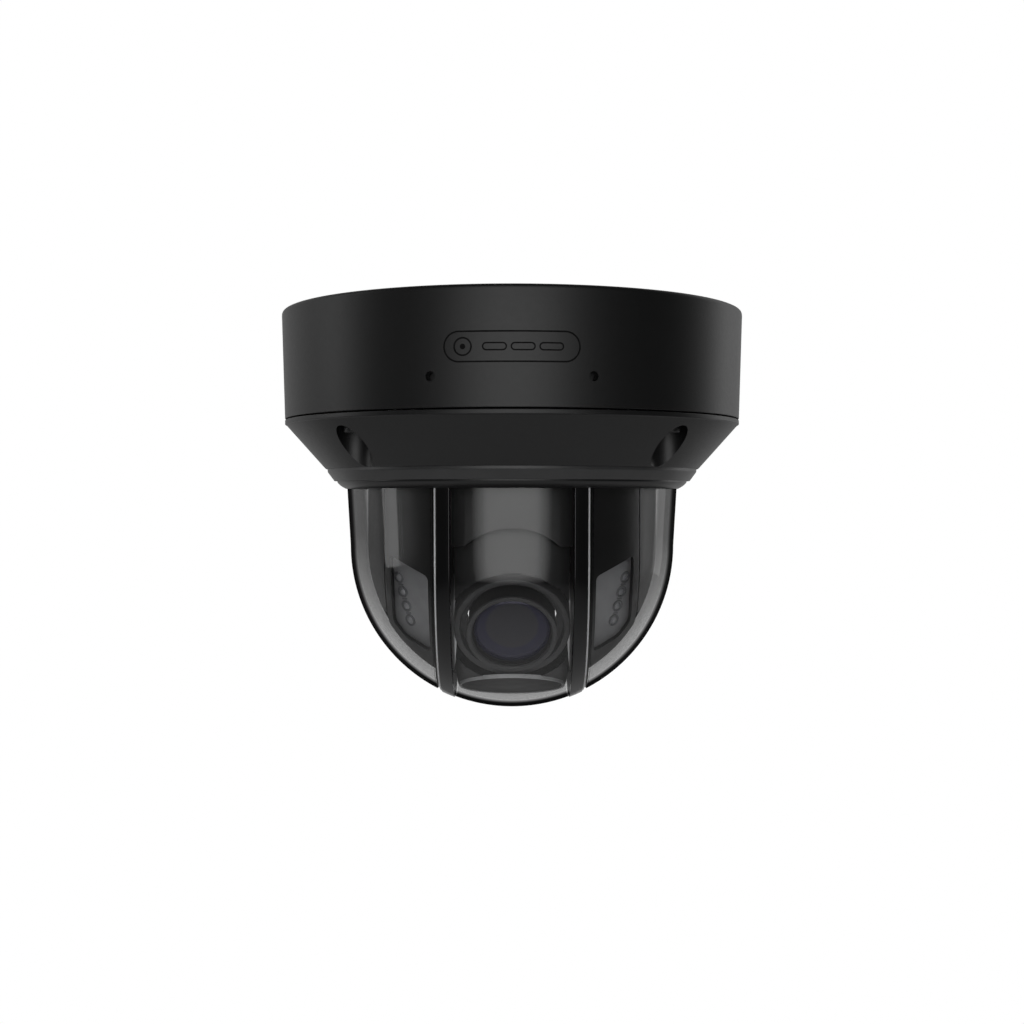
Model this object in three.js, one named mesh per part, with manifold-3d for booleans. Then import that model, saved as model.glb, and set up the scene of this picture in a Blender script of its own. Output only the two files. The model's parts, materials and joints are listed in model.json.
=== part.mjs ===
// Ceiling dome camera with a motorised pan turret and a tilting lens unit.
// Millimetres, +Z up. The origin is the centre of the face that meets the ceiling; the camera hangs
// below it and looks towards -Y.
import * as THREE from "three";
import { mergeVertices } from "three/addons/utils/BufferGeometryUtils.js";
import Module from "manifold-3d";

const wasm = await Module();
wasm.setup();

// ---------------------------------------------------------------- driving dimensions
const GAP = 0.3; // between pieces that touch on the real camera
const ROUND = 36; // facets of the large rings
const SMALL_ROUND = 20; // facets of small turned pieces
const FINE_ROUND = 12; // facets of screws and pins

const HOUSING = { topRadius: 76, footRadius: 75, height: 35, innerRadius: 72.2, edge: 1.2 };
const WEB = { top: -3.2, bottom: -6.2 }; // ceiling of the electronics room
const PLATE = { radius: 71.2, thickness: 2, screwRing: 56, screwHole: 2.4 };
const CABLE = { y: 30, hole: 11, gland: 8 };
const MIC = { azimuth: 18.1, z: -26, hole: 1, radius: 2.6 };

const LIP = { radius: 75, top: -35.4, bottom: -36.8 };
const CONE = { topRadius: 74.5, top: -37, footRadius: 61.6, foot: -51.4, wall: 3 };
const SCREW = { ring: 67.2, pocket: 5.5, wall: 1.8, seat: -39, head: 3.2, shank: 2, boss: 5.2 };
const TRIM = { inner: 58.7, outer: 61.2, shoulder: -52.2, bottom: -55.2, top: -47 };
const CLAMP = { outer: 58, top: -52, bottom: -57.8, inner: 55.1, bore: 57.3 };

const DOME = { neckRadius: 54.7, neck: -58.1, radius: 53.65, centre: -76.4, wall: 2.2, flange: 57 };
const RIB = { inner: 18.8, outer: 24.3 }; // the two dark bands of the dome, on each side of the lens
const PIVOT = -80.3; // height of the tilt axis, a little below the dome's centre

const BASE = { radius: 59.2, top: -40, bottom: -42.5, post: 3, postRing: 50 };
const BOARD = { radius: 58, top: -12, bottom: -13.6 };
const HUB = { bore: 8, radius: 12, top: -35, bottom: -49.7 };
const BEARING = { top: -37.5, bottom: -41.7, outer: 19.8, split: 15.4 };
const TURRET = { radius: 57, top: -50, bottom: -53 };
const HANG = TURRET.bottom - GAP; // top of everything that hangs from the turret disc
const PAN_GEAR = { teeth: 48, pinionTeeth: 10, module: 1.2, top: -44, bottom: -48.2 };

const SHROUD = { radius: 48.3, wall: 1.6, inner: 22.6, outer: 40.3 };
const SIDE_CAP = { radius: 47.9, wall: 1.3, inner: 40.7 };
const FRONT = { radius: 48.6, wall: 1.2, halfWidth: 18.7, foot: -75.6, archTop: -70, archRadius: 21.7 };
const REAR = { radius: 50.2, wall: 1.2, halfWidth: 22.3, foot: -98 };
const YOKE = { inner: 19.4, thickness: 2, radius: 38, flange: 9, reach: 20 };
const POCKET = { inner: 25.9, outer: 38.3, innerTop: -85, innerFoot: -109.9, rise: 6.2, wall: 1.3 };
const PANEL = { azimuth: 42, tilt: 20, tray: 34, board: 35.6, led: 38.2, window: 39 };
const LEDS = { column: 14.5, middle: -6, pitch: 5 }; // a column of four, in the lamp's own plane

const LENS_TILT = 31; // degrees that the lens looks below the horizon at rest
const DRUM = { radius: 46, wall: 2.6, halfWidth: 17.6, cheek: 2.5, from: -75.5, to: 50.5, tail: 18 };
const RECESS = { radius: 20.6, floor: 36, rim: 24 }; // round recess in the drum, about the hood
const HOOD = { outer: 18.2, inner: 16.2, collar: 14.1, back: 30, front: 40.8, chamfer: 0.4 };
const BARREL = { outer: 13.6, inner: 12.3, back: 10.5, front: 43.2, flange: 14.8 };
const NOSE = { outer: 14.1, inner: 12.4, back: 43.5, front: 44.4 };
const BELLY = { radius: 17.2, pad: 19, front: 43.6, back: 42.3, below: 43 }; // below: degrees
const TRUNNION = { radius: 4, end: 27 };
const TILT_GEAR = { teeth: 30, pinionTeeth: 10, module: 0.8, left: 22.8, right: 25.4 };

// ---------------------------------------------------------------- looks
const PAINTED_BLACK = { color: 0x1b1c1d, roughness: 0.55, metalness: 0.1 };
const MOULDED_BLACK = { color: 0x141415, roughness: 0.6, metalness: 0 };
const GLOSS_BLACK = { color: 0x101012, roughness: 0.25, metalness: 0 };
const SATIN_GREY = { color: 0x3c3d3f, roughness: 0.45, metalness: 0.1 };
const SMOKED_CLEAR = { color: 0xb9bec2, roughness: 0.05, metalness: 0 };
const LENS_GLASS = { color: 0x2b2c38, roughness: 0.05, metalness: 0 };
const STEEL = { color: 0x9a9ca0, roughness: 0.35, metalness: 1 };
const ALUMINIUM = { color: 0xa9abad, roughness: 0.45, metalness: 1 };
const BRASS = { color: 0xb59a55, roughness: 0.35, metalness: 1 };
const RUBBER = { color: 0x171717, roughness: 0.9, metalness: 0 };
const WHITE_ACETAL = { color: 0xdcdcd6, roughness: 0.5, metalness: 0 };
const CIRCUIT_BOARD = { color: 0x16452c, roughness: 0.5, metalness: 0 };

// ---------------------------------------------------------------- solids
const radians = THREE.MathUtils.degToRad;

/** A closed geometry as a solid that can be joined and cut. */
function toSolid(geometry) {
  const bare = geometry.clone();
  bare.deleteAttribute("normal");
  bare.deleteAttribute("uv");
  const merged = mergeVertices(bare, 1e-4);
  const vertProperties = merged.attributes.position.array;
  const triVerts = new Uint32Array(merged.index.array);
  return new wasm.Manifold(new wasm.Mesh({ numProp: 3, vertProperties, triVerts }));
}

/** The triangles of a solid as a geometry with smooth normals. */
function toGeometry(solid) {
  const mesh = solid.getMesh();
  const geometry = new THREE.BufferGeometry();
  geometry.setAttribute("position", new THREE.BufferAttribute(mesh.vertProperties, 3));
  geometry.setIndex(new THREE.BufferAttribute(mesh.triVerts, 1));
  geometry.computeVertexNormals();
  return geometry;
}

function joined(first, ...others) {
  return toGeometry(others.reduce((solid, other) => solid.add(toSolid(other)), toSolid(first)));
}

function cut(base, ...tools) {
  return toGeometry(tools.reduce((solid, tool) => solid.subtract(toSolid(tool)), toSolid(base)));
}

function common(first, ...others) {
  return toGeometry(others.reduce((solid, other) => solid.intersect(toSolid(other)), toSolid(first)));
}

/** A solid of revolution about Z from [radius, z] points, given anticlockwise. */
function turned(outline, facets = ROUND) {
  const points = outline.map(([radius, z]) => new THREE.Vector2(radius, z));
  if (points[0].x > 0) points.push(points[0].clone());
  return new THREE.LatheGeometry(points, facets).rotateX(Math.PI / 2);
}

function ring(inner, outer, bottom, top, facets = ROUND) {
  return turned([[inner, bottom], [outer, bottom], [outer, top], [inner, top]], facets);
}

function disc(radius, bottom, top, facets = ROUND) {
  return turned([[0, bottom], [radius, bottom], [radius, top], [0, top]], facets);
}

/** A block from its lowest to its highest corner. */
function block(x0, x1, y0, y1, z0, z1) {
  const box = new THREE.BoxGeometry(x1 - x0, y1 - y0, z1 - z0);
  return box.translate((x0 + x1) / 2, (y0 + y1) / 2, (z0 + z1) / 2);
}

/** An outline in X and Y made thick from one height to another. */
function slab(shape, bottom, top, curveSegments = 12) {
  const options = { depth: top - bottom, bevelEnabled: false, curveSegments };
  return new THREE.ExtrudeGeometry(shape, options).translate(0, 0, bottom);
}

/** A round outline or hole in X and Y, as a list of its corners. */
function circle(x, y, radius, facets) {
  return new THREE.EllipseCurve(x, y, radius, radius).getPoints(facets).slice(0, -1);
}

/** Turn a piece made about Z so that its axis lies along +X. */
function alongX(geometry) {
  return geometry.rotateY(Math.PI / 2);
}

/** Turn a piece made about Z so that its axis lies along -Y, the way the lens looks. */
function alongLens(geometry) {
  return geometry.rotateX(Math.PI / 2);
}

/** Turn an outline in X and Y into the X-Z plane, its thickness towards -Y. */
function upright(geometry) {
  return geometry.rotateX(Math.PI / 2);
}

/** The mirror image in the plane X = 0. */
function mirrored(geometry) {
  const image = mergeVertices(geometry.clone().scale(-1, 1, 1));
  const index = image.index.array;
  for (let i = 0; i < index.length; i += 3) {
    const swapped = index[i + 1];
    index[i + 1] = index[i + 2];
    index[i + 2] = swapped;
  }
  return image;
}

/** Points of an arc in a [radius, z] outline, about a centre on the axis, angles from the horizon. */
function arc(radius, centre, from, to, steps) {
  const points = [];
  for (let i = 0; i <= steps; i += 1) {
    const angle = radians(from + ((to - from) * i) / steps);
    points.push([radius * Math.cos(angle), centre + radius * Math.sin(angle)]);
  }
  return points;
}

/** A spur gear about Z with involute flanks, a tooth pointing to +X before it is turned. */
function spurGear({ teeth, module, bottom, top, bore = 0, turn = 0, slack = 0.12 }) {
  const pitch = (teeth * module) / 2;
  const base = pitch * Math.cos(radians(20));
  const involute = (radius) => {
    const angle = Math.acos(Math.min(1, base / radius));
    return Math.tan(angle) - angle;
  };
  const halfTooth = (radius) =>
    (Math.PI / 2 / teeth) * (1 - slack) + involute(pitch) - involute(radius);
  const radii = [pitch - 1.2 * module, pitch + 0.8 * module];
  if (teeth < 20) radii.splice(1, 0, pitch); // a small pinion's flanks need a third point
  const outline = [];
  for (let i = 0; i < teeth; i += 1) {
    const middle = turn + (i * 2 * Math.PI) / teeth;
    const rising = radii.map((radius) => [radius, middle - halfTooth(radius)]);
    const falling = radii.toReversed().map((radius) => [radius, middle + halfTooth(radius)]);
    outline.push(...rising, ...falling);
  }
  const corners = outline.map(([r, a]) => new THREE.Vector2(r * Math.cos(a), r * Math.sin(a)));
  const shape = new THREE.Shape(corners);
  if (bore) shape.holes.push(new THREE.Path(circle(0, 0, bore, SMALL_ROUND)));
  return slab(shape, bottom, top);
}

/** A closed skin that follows the dome's form: a cylinder above the dome's centre, a ball below it. */
function domeSkin(radius, wall, steps = 8) {
  return turned([
    [radius - wall, HANG],
    ...arc(radius - wall, DOME.centre, 0, -90, steps),
    ...arc(radius, DOME.centre, -90, 0, steps),
    [radius, HANG],
  ]);
}

/** The same form filled. */
function domeFill(radius, top = HANG, steps = 8) {
  return turned([...arc(radius, DOME.centre, -90, 0, steps), [radius, top], [0, top]]);
}

/** Everything between two planes of constant X. */
function sliceX(from, to) {
  return block(from, to, -80, 80, -160, 10);
}

// ---------------------------------------------------------------- assembly tree
const camera = new THREE.Group();
const turret = new THREE.Group();
const lensUnit = new THREE.Group();
lensUnit.position.set(0, 0, PIVOT);
lensUnit.rotation.x = radians(LENS_TILT);
camera.add(turret);
turret.add(lensUnit);

function add(parent, name, geometry, look) {
  const mesh = new THREE.Mesh(geometry, new THREE.MeshStandardMaterial(look));
  mesh.name = name;
  parent.add(mesh);
  return mesh;
}

/** A piece on the right of the camera and its mirror image on the left. */
function addPair(parent, name, geometry, look) {
  add(parent, name + "_right", geometry, look);
  add(parent, name + "_left", mirrored(geometry), look);
}

// ---------------------------------------------------------------- housing
const DIAGONALS = [45, 135, 225, 315];

/** A point on a circle about Z; azimuth 0 is the front, 90 is +X. */
function around(radius, azimuth) {
  return [radius * Math.sin(radians(azimuth)), -radius * Math.cos(radians(azimuth))];
}

function makeMountPlate() {
  const outline = new THREE.Shape(circle(0, 0, PLATE.radius, ROUND));
  outline.holes.push(new THREE.Path(circle(0, CABLE.y, CABLE.hole, SMALL_ROUND)));
  for (const azimuth of [0, 90, 180, 270]) {
    const [x, y] = around(PLATE.screwRing, azimuth);
    outline.holes.push(new THREE.Path(circle(x, y, PLATE.screwHole, FINE_ROUND)));
  }
  return slab(outline, -PLATE.thickness, 0);
}

function makeHousingShell() {
  const foot = -HOUSING.height;
  const { topRadius, footRadius, innerRadius, edge } = HOUSING;
  const wall = turned([
    [innerRadius, WEB.bottom],
    [innerRadius, foot],
    [footRadius, foot],
    [topRadius, -edge],
    [topRadius - edge * 0.3, -edge * 0.3],
    [topRadius - edge, 0],
    [innerRadius, 0],
    [innerRadius, WEB.top],
    [0, WEB.top],
    [0, WEB.bottom],
  ]);
  const bosses = [];
  const bores = [];
  for (const azimuth of DIAGONALS) {
    const [x, y] = around(SCREW.ring, azimuth);
    bosses.push(disc(SCREW.boss, foot, WEB.bottom + 1, FINE_ROUND).translate(x, y, 0));
    bores.push(disc(SCREW.shank + 0.4, foot - 2, foot + 9, FINE_ROUND).translate(x, y, 0));
  }
  const holes = [-MIC.azimuth, MIC.azimuth].map((azimuth) => {
    const hole = disc(MIC.hole, 68, 80, 12);
    return alongLens(hole).rotateZ(radians(azimuth)).translate(0, 0, MIC.z);
  });
  holes.push(disc(CABLE.hole, -10, 2, SMALL_ROUND).translate(0, CABLE.y, 0));
  return cut(joined(wall, ...bosses), ...bores, ...holes);
}

function makeCableGland() {
  const { hole, gland } = CABLE;
  const outline = [
    [gland, WEB.bottom - 2],
    [hole + 2, WEB.bottom - 2],
    [hole + 2, WEB.bottom - GAP],
    [hole - GAP, WEB.bottom - GAP],
    [hole - GAP, WEB.top],
    [gland, WEB.top],
  ];
  return turned(outline, SMALL_ROUND);
}

function makeCoverRing() {
  const { topRadius, top, footRadius, foot, wall } = CONE;
  const groove = LIP.top - 1.2;
  const cone = turned([
    [72.4, LIP.top],
    [72.4, groove],
    [66, groove],
    [66, groove - 1.5],
    [topRadius - 2 - wall, groove - 1.5],
    [footRadius - 0.1, foot + wall],
    [footRadius - 0.1, foot + 0.5],
    [footRadius, foot],
    [topRadius, top],
    [LIP.radius, LIP.bottom],
    [LIP.radius, LIP.top],
  ]);
  const towers = [];
  const pockets = [];
  const outside = turned([[footRadius - 0.1, foot], [topRadius, top], [topRadius, groove],
    [footRadius - 0.1, groove]]);
  for (const azimuth of DIAGONALS) {
    const [x, y] = around(SCREW.ring, azimuth);
    const tower = disc(SCREW.pocket + SCREW.wall, -60, groove, SMALL_ROUND).translate(x, y, 0);
    towers.push(common(tower, outside));
    pockets.push(disc(SCREW.pocket, -60, SCREW.seat, SMALL_ROUND).translate(x, y, 0));
    pockets.push(disc(SCREW.shank + 0.4, -60, 0, FINE_ROUND).translate(x, y, 0));
  }
  return cut(joined(cone, ...towers), ...pockets);
}

function makeCoverScrew() {
  const { head, shank, seat } = SCREW;
  const screw = turned([
    [0, seat - 2],
    [head - 0.4, seat - 2],
    [head, seat - 1.5],
    [head, seat - GAP],
    [shank, seat - GAP],
    [shank, -28],
    [0, -28],
  ], FINE_ROUND);
  return cut(screw, disc(1.5, seat - 5, seat - 1, 6));
}

function makeTrimRing() {
  const { inner, outer, shoulder, bottom, top } = TRIM;
  return turned([[inner, bottom], [inner + 0.4, bottom], [outer, shoulder], [outer, top], [inner, top]]);
}

add(camera, "mount_plate", makeMountPlate(), STEEL);
add(camera, "housing_shell", makeHousingShell(), PAINTED_BLACK);
add(camera, "cable_gland", makeCableGland(), RUBBER).position.y = CABLE.y;
add(camera, "cover_gasket", ring(70.4, 72.1, LIP.top - 0.9, LIP.top + 0.1), RUBBER);
add(camera, "cover_ring", makeCoverRing(), PAINTED_BLACK);
DIAGONALS.forEach((azimuth, i) => {
  const screw = add(camera, "cover_screw_" + (i + 1), makeCoverScrew(), STEEL);
  const [x, y] = around(SCREW.ring, azimuth);
  screw.position.set(x, y, 0);
});
add(camera, "trim_ring", makeTrimRing(), PAINTED_BLACK);
add(camera, "dust_seal", ring(54, TRIM.inner - GAP, TURRET.top + 0.6, TRIM.top + GAP), RUBBER);
for (const [name, azimuth] of [["mic_left", -MIC.azimuth], ["mic_right", MIC.azimuth]]) {
  const capsule = alongLens(disc(MIC.radius, 68.4, 71.4, FINE_ROUND));
  const mic = add(camera, name, capsule, ALUMINIUM);
  mic.position.z = MIC.z;
  mic.rotation.z = radians(azimuth);
}

// ---------------------------------------------------------------- electronics
const UNDER_BOARD = BOARD.bottom - GAP;

function makeMainBoard() {
  const outline = new THREE.Shape(circle(0, 0, BOARD.radius, ROUND));
  for (const azimuth of DIAGONALS) {
    const [x, y] = around(BASE.postRing, azimuth);
    outline.holes.push(new THREE.Path(circle(x, y, BASE.post + 0.5, FINE_ROUND)));
  }
  const passage = new THREE.Path();
  passage.moveTo(-10, 23).lineTo(-10, 39).lineTo(10, 39).lineTo(10, 23).closePath();
  outline.holes.push(passage);
  return slab(outline, BOARD.bottom, BOARD.top);
}

function makeHeatSink() {
  const plate = block(-36, -12, -28, -6, UNDER_BOARD - 2, UNDER_BOARD);
  const fins = [];
  for (let x = -36; x < -12; x += 4.5) {
    fins.push(block(x, x + 1.5, -28, -6, UNDER_BOARD - 10, UNDER_BOARD - 1));
  }
  return joined(plate, ...fins);
}

function makeEthernetJack() {
  const body = block(-8, 8, 3, 21, UNDER_BOARD - 13, UNDER_BOARD);
  return cut(body, block(-6, 6, 12, 30, UNDER_BOARD - 11, UNDER_BOARD - 3));
}

const SWITCH = { y: -40, half: 3.2, height: 3.6, bore: 2, button: 1.6, travel: 0.8 };

function makeResetSwitch() {
  const { y, half, height, bore } = SWITCH;
  const body = block(-half, half, y - half, y + half, UNDER_BOARD - height, UNDER_BOARD);
  return cut(body, disc(bore, -30, UNDER_BOARD - 0.8, FINE_ROUND).translate(0, y, 0));
}

add(camera, "main_board", makeMainBoard(), CIRCUIT_BOARD);
add(camera, "ethernet_jack", makeEthernetJack(), ALUMINIUM);
add(camera, "heat_sink", makeHeatSink(), ALUMINIUM);
add(camera, "card_slot", block(12, 27, -34, -20, UNDER_BOARD - 2, UNDER_BOARD), STEEL);
add(camera, "reset_switch", makeResetSwitch(), MOULDED_BLACK);
const buttonTop = UNDER_BOARD - 0.8 - SWITCH.travel - GAP;
const button = disc(SWITCH.button, UNDER_BOARD - SWITCH.height - 1.8, buttonTop, FINE_ROUND);
add(camera, "reset_button", button, WHITE_ACETAL).position.y = SWITCH.y;

// ---------------------------------------------------------------- pan drive
const panPitch = (PAN_GEAR.teeth * PAN_GEAR.module) / 2;
const panPinionPitch = (PAN_GEAR.pinionTeeth * PAN_GEAR.module) / 2;
const panMotorX = panPitch + panPinionPitch;

function makePanBase() {
  const plate = cut(
    disc(BASE.radius, BASE.bottom, BASE.top),
    disc(BEARING.outer + GAP, -60, 0),
    disc(3, -60, 0, FINE_ROUND).translate(panMotorX, 0, 0),
  );
  const posts = DIAGONALS.map((azimuth) => {
    const [x, y] = around(BASE.postRing, azimuth);
    return disc(BASE.post, BASE.bottom + 1, WEB.bottom - GAP, FINE_ROUND).translate(x, y, 0);
  });
  return joined(plate, ...posts);
}

function makePanMotor() {
  const outline = [
    [2, BASE.top + GAP],
    [12, BASE.top + GAP],
    [12, -18],
    [11, -17],
    [0, -17],
    [0, -34],
    [2, -34],
  ];
  return turned(outline, SMALL_ROUND);
}

function makePanPinion() {
  const teeth = spurGear({
    teeth: PAN_GEAR.pinionTeeth,
    module: PAN_GEAR.module,
    bottom: PAN_GEAR.bottom,
    top: PAN_GEAR.top,
    turn: Math.PI / PAN_GEAR.pinionTeeth,
  });
  return joined(teeth, disc(1.5, PAN_GEAR.bottom, -35, FINE_ROUND));
}

add(camera, "pan_base", makePanBase(), ALUMINIUM);
const outerRace = ring(BEARING.split + 0.4, BEARING.outer, BEARING.bottom, BEARING.top, 24);
add(camera, "pan_bearing_outer", outerRace, STEEL);
add(camera, "pan_motor", makePanMotor(), STEEL).position.x = panMotorX;
add(camera, "pan_pinion", makePanPinion(), BRASS).position.x = panMotorX;

function makeTurretHub() {
  const { bore, radius, top, bottom } = HUB;
  return turned([
    [bore, bottom],
    [20, bottom],
    [20, bottom + 1],
    [radius, bottom + 1],
    [radius, BEARING.bottom - 2],
    [radius + 2.2, BEARING.bottom - 2],
    [radius + 2.2, BEARING.bottom - GAP],
    [radius, BEARING.bottom - GAP],
    [radius, top],
    [bore, top],
  ], SMALL_ROUND);
}

function makeClampRing() {
  const { outer, top, bottom, inner, bore } = CLAMP;
  const lower = DOME.neck + 2.6;
  return turned([
    [bore, top],
    [bore, lower],
    [inner + 0.2, lower],
    [inner, bottom],
    [outer - 1.6, bottom + 0.7],
    [outer - 0.8, bottom + 1.3],
    [outer, bottom + 2.1],
    [outer, top],
  ]);
}

add(turret, "turret_hub", makeTurretHub(), ALUMINIUM);
const innerRace = ring(HUB.radius + GAP, BEARING.split - 0.4, BEARING.bottom, BEARING.top, 24);
add(turret, "pan_bearing_inner", innerRace, STEEL);
const panGear = { ...PAN_GEAR, bore: 15 };
add(turret, "pan_gear", spurGear(panGear), WHITE_ACETAL);
add(turret, "turret_disc", ring(HUB.bore, TURRET.radius, TURRET.bottom, TURRET.top), MOULDED_BLACK);
add(turret, "clamp_ring", makeClampRing(), MOULDED_BLACK);

// ---------------------------------------------------------------- dome
function makeDomeShell() {
  const { neckRadius, neck, radius, centre, wall, flange } = DOME;
  const flangeFoot = neck + 2.9;
  return turned([
    [radius - wall + 0.8, HANG],
    ...arc(radius - wall, centre, 0, -90, 9),
    ...arc(radius, centre, -90, 0, 9),
    [neckRadius, neck],
    [neckRadius + 0.1, flangeFoot],
    [flange, flangeFoot],
    [flange, HANG],
  ]);
}

const domeShell = makeDomeShell();
const middleWindow = common(domeShell, sliceX(-RIB.inner + GAP, RIB.inner - GAP));
add(turret, "dome_window_center", middleWindow, SMOKED_CLEAR);
addPair(turret, "dome_window", common(domeShell, sliceX(RIB.outer + GAP, 80)), SMOKED_CLEAR);
addPair(turret, "dome_rib", common(domeShell, sliceX(RIB.inner, RIB.outer)), GLOSS_BLACK);

// ---------------------------------------------------------------- covers that turn with the dome
function makeFrontPlate() {
  const { radius, wall, halfWidth, foot, archTop, archRadius } = FRONT;
  const skin = ring(radius - wall, radius, foot, HANG);
  const front = block(-halfWidth, halfWidth, -80, 0, foot - 1, HANG + 1);
  const arch = disc(archRadius, 30, 70, ROUND);
  return cut(common(skin, front), alongLens(arch).translate(0, 0, archTop - archRadius));
}

function makeRearShroud() {
  const { radius, wall, halfWidth, foot } = REAR;
  return common(domeSkin(radius, wall), block(-halfWidth, halfWidth, 10, 80, foot, 0));
}

/** Outline of the lamp pocket in X and Z, grown on every side. */
function pocketShape(grow) {
  const { inner, outer, innerTop, innerFoot, rise } = POCKET;
  const shape = new THREE.Shape();
  shape.moveTo(inner - grow, innerFoot - grow * 1.4);
  shape.lineTo(outer - 4, innerFoot + rise * 0.68 - grow * 1.2);
  shape.lineTo(outer + grow, innerFoot + rise + 3);
  shape.lineTo(outer + grow, innerTop + rise + grow * 0.7);
  shape.lineTo(inner - grow, innerTop + grow * 0.7);
  shape.closePath();
  return shape;
}

/** Turn a piece that looks towards -Y from the origin so that it looks the infra-red lamp's way. */
function facingOut(geometry) {
  const aimed = geometry.rotateX(radians(PANEL.tilt)).rotateZ(radians(PANEL.azimuth));
  return aimed.translate(0, 0, DOME.centre);
}

/** Everything between two planes square to the way the lamp looks. */
function lampSlab(near, far) {
  return facingOut(block(-60, 60, -far, -near, -60, 60));
}

function lampPiece(grow, near, far) {
  return common(upright(slab(pocketShape(grow), 0, 60)), lampSlab(near, far));
}

function makeShroud() {
  const { radius, wall, inner, outer } = SHROUD;
  const skin = common(domeSkin(radius, wall), sliceX(inner, outer));
  const tray = common(lampPiece(POCKET.wall, PANEL.tray, 60), domeFill(radius - 1, HANG - 1));
  const pocket = lampPiece(0, PANEL.tray + POCKET.wall, 60);
  return cut(joined(skin, common(tray, sliceX(inner, outer))), pocket);
}

function makeLampBoard() {
  const board = lampPiece(-0.5, PANEL.board, PANEL.board + 1.2);
  const leds = [];
  for (let i = -1.5; i <= 1.5; i += 1) {
    const led = alongLens(disc(1.6, PANEL.board + 0.6, PANEL.led, 12));
    leds.push(facingOut(led.translate(LEDS.column, 0, LEDS.middle + i * LEDS.pitch)));
  }
  return joined(board, ...leds);
}

function makeSideCap() {
  const { radius, wall, inner } = SIDE_CAP;
  return common(domeSkin(radius, wall), sliceX(inner, 80));
}

function makeYoke() {
  const { inner, thickness, radius, flange, reach } = YOKE;
  const wall = alongX(disc(radius, inner, inner + thickness, ROUND)).translate(0, 0, PIVOT);
  const below = block(0, 80, -80, 80, -160, HANG);
  const foot = block(inner, inner + flange, -reach, reach, HANG - 2, HANG);
  const hole = alongX(disc(6.3, 0, 60, SMALL_ROUND)).translate(0, 0, PIVOT);
  return cut(joined(common(wall, below), foot), hole);
}

function makeBush() {
  const from = DRUM.halfWidth + 0.6;
  const step = YOKE.inner - GAP;
  const to = YOKE.inner + YOKE.thickness + 0.4;
  const outline = [[4.5, from], [7.6, from], [7.6, step], [6, step], [6, to], [4.5, to]];
  const bush = turned(outline, SMALL_ROUND);
  return alongX(bush).translate(0, 0, PIVOT);
}

add(turret, "front_plate", makeFrontPlate(), MOULDED_BLACK);
add(turret, "rear_shroud", makeRearShroud(), MOULDED_BLACK);
addPair(turret, "ir_shroud", makeShroud(), MOULDED_BLACK);
addPair(turret, "side_cap", makeSideCap(), MOULDED_BLACK);
addPair(turret, "ir_board", makeLampBoard(), CIRCUIT_BOARD);
addPair(turret, "ir_window", lampPiece(-0.4, PANEL.window, PANEL.window + 1.2), SATIN_GREY);
addPair(turret, "yoke", makeYoke(), ALUMINIUM);
addPair(turret, "tilt_bush", makeBush(), BRASS);

// ---------------------------------------------------------------- tilt drive
const tiltPitch = (TILT_GEAR.teeth * TILT_GEAR.module) / 2;
const tiltPinionPitch = (TILT_GEAR.pinionTeeth * TILT_GEAR.module) / 2;
const tiltMotorY = tiltPitch + tiltPinionPitch;

function makeTiltMotor() {
  const can = alongX(turned([[1.6, 27.5], [8, 27.5], [8, 37], [0, 37], [0, 31], [1.6, 31]], SMALL_ROUND));
  const plate = cut(
    block(27.5, 29, -5, 5, -11.5, 11.5),
    alongX(disc(1.6, 20, 40, SMALL_ROUND)),
  );
  const posts = [-9.6, 9.6].map((z) => alongX(disc(1.3, 21.7, 28, 12)).translate(0, 0, z));
  return joined(can, plate, ...posts);
}

/** A gear of the tilt drive, with its axis along X. */
function tiltTrainGear(teeth, bore, turn) {
  const { module, left, right } = TILT_GEAR;
  return alongX(spurGear({ teeth, module, bottom: left, top: right, bore, turn }));
}

function makeTiltPinion() {
  const teeth = tiltTrainGear(TILT_GEAR.pinionTeeth, 0, Math.PI / 2 + Math.PI / TILT_GEAR.pinionTeeth);
  return joined(teeth, alongX(disc(1.1, TILT_GEAR.left, 30, 12)));
}

add(turret, "tilt_motor", makeTiltMotor(), STEEL).position.set(0, tiltMotorY, PIVOT);
add(turret, "tilt_pinion", makeTiltPinion(), BRASS).position.set(0, tiltMotorY, PIVOT);

// ---------------------------------------------------------------- lens unit, made about its own pivot
/** An outline across X: an arc from one angle to another, with a round tail behind the pivot. */
function sectorShape(radius, from, to, tail) {
  const shape = new THREE.Shape();
  shape.absarc(0, 0, radius, radians(from), radians(to), false);
  shape.absarc(0, 0, tail, radians(to + 50), radians(from + 310), false);
  shape.closePath();
  return shape;
}

/** Turn an outline so that its X looks along the lens and its thickness lies across the camera. */
function acrossCamera(geometry) {
  return geometry.rotateX(Math.PI / 2).rotateZ(-Math.PI / 2);
}

/** A ball about the pivot, cut flat on both sides. */
function barrelBall(radius, halfWidth) {
  const rim = THREE.MathUtils.radToDeg(Math.asin(halfWidth / radius));
  return alongX(turned([[0, -halfWidth], ...arc(radius, 0, -rim, rim, 4), [0, halfWidth]], 56));
}

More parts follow.
